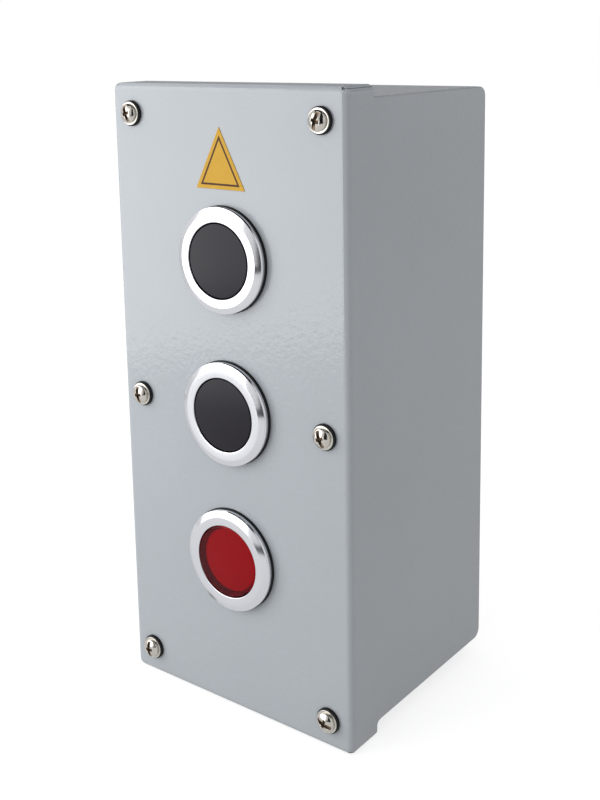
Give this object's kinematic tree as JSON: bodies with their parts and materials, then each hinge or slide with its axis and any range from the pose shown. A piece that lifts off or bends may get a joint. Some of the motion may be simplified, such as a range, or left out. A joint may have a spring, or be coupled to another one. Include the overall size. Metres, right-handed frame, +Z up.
{
  "type": "pushbutton control station",
  "caption": "Tall painted steel wall box with round flush pushbuttons one above another on its screwed front cover; each button presses straight in against a spring.",
  "frame": {"origin": "centre of the back face, on the wall", "axes": "+Z up, the buttons face -Y, +Y points into the wall, +X to the viewer's right"},
  "size_m": [0.08, 0.0725, 0.177],
  "materials": {
    "grey_paint": "semi-gloss light grey powder paint, fine orange peel",
    "nickel_steel": "nickel plated steel",
    "black_rubber": "black rubber, matt",
    "zinc_steel": "zinc plated steel",
    "yellow_paint": "golden yellow with a thin brown outline",
    "brass": "plain brass",
    "satin_aluminium": "turned aluminium, satin",
    "white_plastic": "white moulded plastic",
    "spring_steel": "drawn spring wire",
    "black_plastic": "black moulded plastic",
    "grey_plastic": "dark grey moulded plastic",
    "black_cap_plastic": "matt black cap, fine eroded texture",
    "red_lens_plastic": "clear red, smooth",
    "green_board": "green circuit board",
    "lamp_resin": "clear resin"
  },
  "bodies": {
    "station": {"front_cover": "grey_paint", "base_box": "grey_paint", "cover_gasket": "black_rubber", "cover_screws": "nickel_steel", "steel_washers": "nickel_steel", "rubber_washers": "black_rubber", "rivet_nuts": "zinc_steel", "yellow_marker": "yellow_paint", "cable_grommet": "black_rubber", "earth_stud": "brass", "earth_washer": "zinc_steel", "earth_nut": "brass", "upper_bezel": "satin_aluminium", "upper_bezel_gasket": "black_rubber", "upper_lock_ring": "zinc_steel", "upper_return_spring": "spring_steel", "upper_mounting_collar": "black_plastic", "upper_contact_housing": "grey_plastic", "upper_terminals": "brass", "upper_terminal_screws": "nickel_steel", "middle_bezel": "satin_aluminium", "middle_bezel_gasket": "black_rubber", "middle_lock_ring": "zinc_steel", "middle_return_spring": "spring_steel", "middle_mounting_collar": "black_plastic", "middle_contact_housing": "grey_plastic", "middle_terminals": "brass", "middle_terminal_screws": "nickel_steel", "lower_bezel": "satin_aluminium", "lower_bezel_gasket": "black_rubber", "lower_lock_ring": "zinc_steel", "lower_return_spring": "spring_steel", "lower_mounting_collar": "black_plastic", "lower_contact_housing": "grey_plastic", "lower_terminals": "brass", "lower_terminal_screws": "nickel_steel"},
    "upper_button": {"upper_cap": "black_cap_plastic", "upper_plunger": "white_plastic", "upper_retaining_clip": "zinc_steel", "upper_contact_carriage": "white_plastic", "upper_contact_springs": "spring_steel", "upper_contact_bridges": "brass"},
    "middle_button": {"middle_cap": "black_cap_plastic", "middle_plunger": "white_plastic", "middle_retaining_clip": "zinc_steel", "middle_contact_carriage": "white_plastic", "middle_contact_springs": "spring_steel", "middle_contact_bridges": "brass"},
    "lower_button": {"lower_lens": "red_lens_plastic", "lower_diffuser": "white_plastic", "lower_lamp_board": "green_board", "lower_lamp": "lamp_resin", "lower_plunger": "white_plastic", "lower_retaining_clip": "zinc_steel", "lower_contact_carriage": "white_plastic", "lower_contact_springs": "spring_steel", "lower_contact_bridges": "brass"}
  },
  "joints": [
    {"name": "upper_press", "type": "slide", "parent": "station", "child": "upper_button", "axis": [0, 1, 0], "range_m": [0, 0.004], "stiffness_N_per_m": 1000, "springref_m": -0.004, "deforming": ["upper_return_spring"]},
    {"name": "middle_press", "type": "slide", "parent": "station", "child": "middle_button", "axis": [0, 1, 0], "range_m": [0, 0.004], "stiffness_N_per_m": 1000, "springref_m": -0.004, "deforming": ["middle_return_spring"]},
    {"name": "lower_press", "type": "slide", "parent": "station", "child": "lower_button", "axis": [0, 1, 0], "range_m": [0, 0.004], "stiffness_N_per_m": 1000, "springref_m": -0.004, "deforming": ["lower_return_spring"]}
  ]
}
